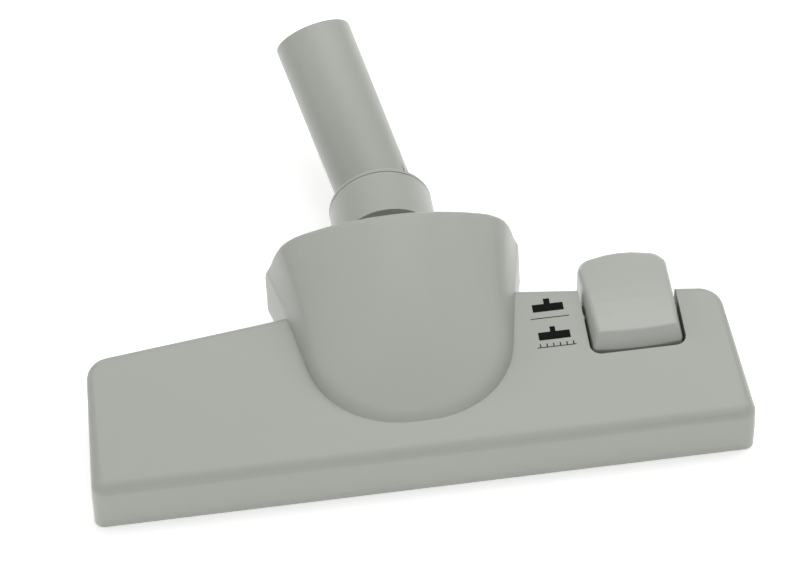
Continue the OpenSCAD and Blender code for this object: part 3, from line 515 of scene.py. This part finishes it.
bpy.ops.mesh.primitive_plane_add(size=6.0, location=(0, 0.5, -0.0001))
floor = bpy.context.object
floor.name = "floor"
paper = bpy.data.materials.new("white_paper")
paper.use_nodes = True
nodes = paper.node_tree.nodes
nodes.clear()
matte, glow, lit, sweep, path, mirrored, seen, reflected, out = [
    nodes.new("ShaderNode" + kind)
    for kind in (
        "BsdfDiffuse",
        "Emission",
        "AddShader",
        "Emission",
        "LightPath",
        "Math",
        "MixShader",
        "MixShader",
        "OutputMaterial",
    )
]
matte.inputs["Color"].default_value = (0.86, 0.86, 0.85, 1)
glow.inputs["Strength"].default_value = 0.5
sweep.inputs["Strength"].default_value = 2.6
mirrored.operation = "ADD"
mirrored.use_clamp = True
for source, output, target, socket in (
    (matte, 0, lit, 0),
    (glow, 0, lit, 1),
    (path, "Is Camera Ray", seen, 0),
    (matte, 0, seen, 1),
    (lit, 0, seen, 2),
    (path, "Is Glossy Ray", mirrored, 0),
    (path, "Is Transmission Ray", mirrored, 1),
    (mirrored, 0, reflected, 0),
    (seen, 0, reflected, 1),
    (sweep, 0, reflected, 2),
    (reflected, 0, out, 0),
):
    paper.node_tree.links.new(source.outputs[output], target.inputs[socket])
floor.data.materials.append(paper)

# Soft lamps around the head, and a plain white studio behind them

world = bpy.data.worlds.new("studio")
bpy.context.scene.world = world
world.use_nodes = True
sky = world.node_tree.nodes["Background"]
sky.inputs["Color"].default_value = (1.0, 1.0, 1.0, 1)
sky.inputs["Strength"].default_value = 0.3


def lamp(name, place, aim, size, power):
    data = bpy.data.lights.new(name, "AREA")
    data.shape = "RECTANGLE"
    data.size, data.size_y = size
    data.energy = power
    obj = bpy.data.objects.new(name, data)
    bpy.context.scene.collection.objects.link(obj)
    obj.location = place
    facing = Vector(aim) - Vector(place)
    obj.rotation_euler = facing.to_track_quat("-Z", "Y").to_euler()


lamp("overhead_softbox", (0.1, 0.4, 1.3), (0, 0.02, 0), (1.2, 0.9), 9.8)
lamp("right_softbox", (0.8, 0.3, 1.0), (0, 0.02, 0), (0.8, 0.8), 3.4)
lamp("left_softbox", (-1.2, 0.1, 0.6), (0, 0.02, 0.03), (0.9, 0.4), 2.4)
lamp("front_softbox", (0.1, -1.3, 0.2), (0, 0, 0.02), (1.6, 0.36), 1.6)
lamp("front_floor_softbox", (-0.3, -1.1, 0.1), (0, -0.02, 0.02), (1.8, 0.18), 2.6)

# Camera: solved from the photograph's outline

IMAGE_WIDTH, FOCAL_PIXELS = 800.0, 4001.6
DISTANCE = 1.761
tilt, swing, roll = math.radians(49.0), math.radians(7.99), math.radians(-0.63)
aim = Vector((-0.00021, 0.02258, 0.046))
away = Vector(
    (
        -math.sin(swing) * math.cos(tilt),
        -math.cos(swing) * math.cos(tilt),
        math.sin(tilt),
    )
)
right = Vector((0, 0, 1)).cross(away).normalized()
up = away.cross(right)
right, up = (
    right * math.cos(roll) + up * math.sin(roll),
    up * math.cos(roll) - right * math.sin(roll),
)
lens = bpy.data.cameras.new("camera")
lens.sensor_width = 36.0
lens.lens = FOCAL_PIXELS * lens.sensor_width / IMAGE_WIDTH
lens.clip_start = 0.05
camera = bpy.data.objects.new("camera", lens)
bpy.context.scene.collection.objects.link(camera)
turned = Matrix((right, up, away)).transposed().to_4x4()
camera.matrix_world = Matrix.Translation(aim + DISTANCE * away) @ turned
bpy.context.scene.camera = camera
bpy.context.scene.view_settings.view_transform = "Standard"
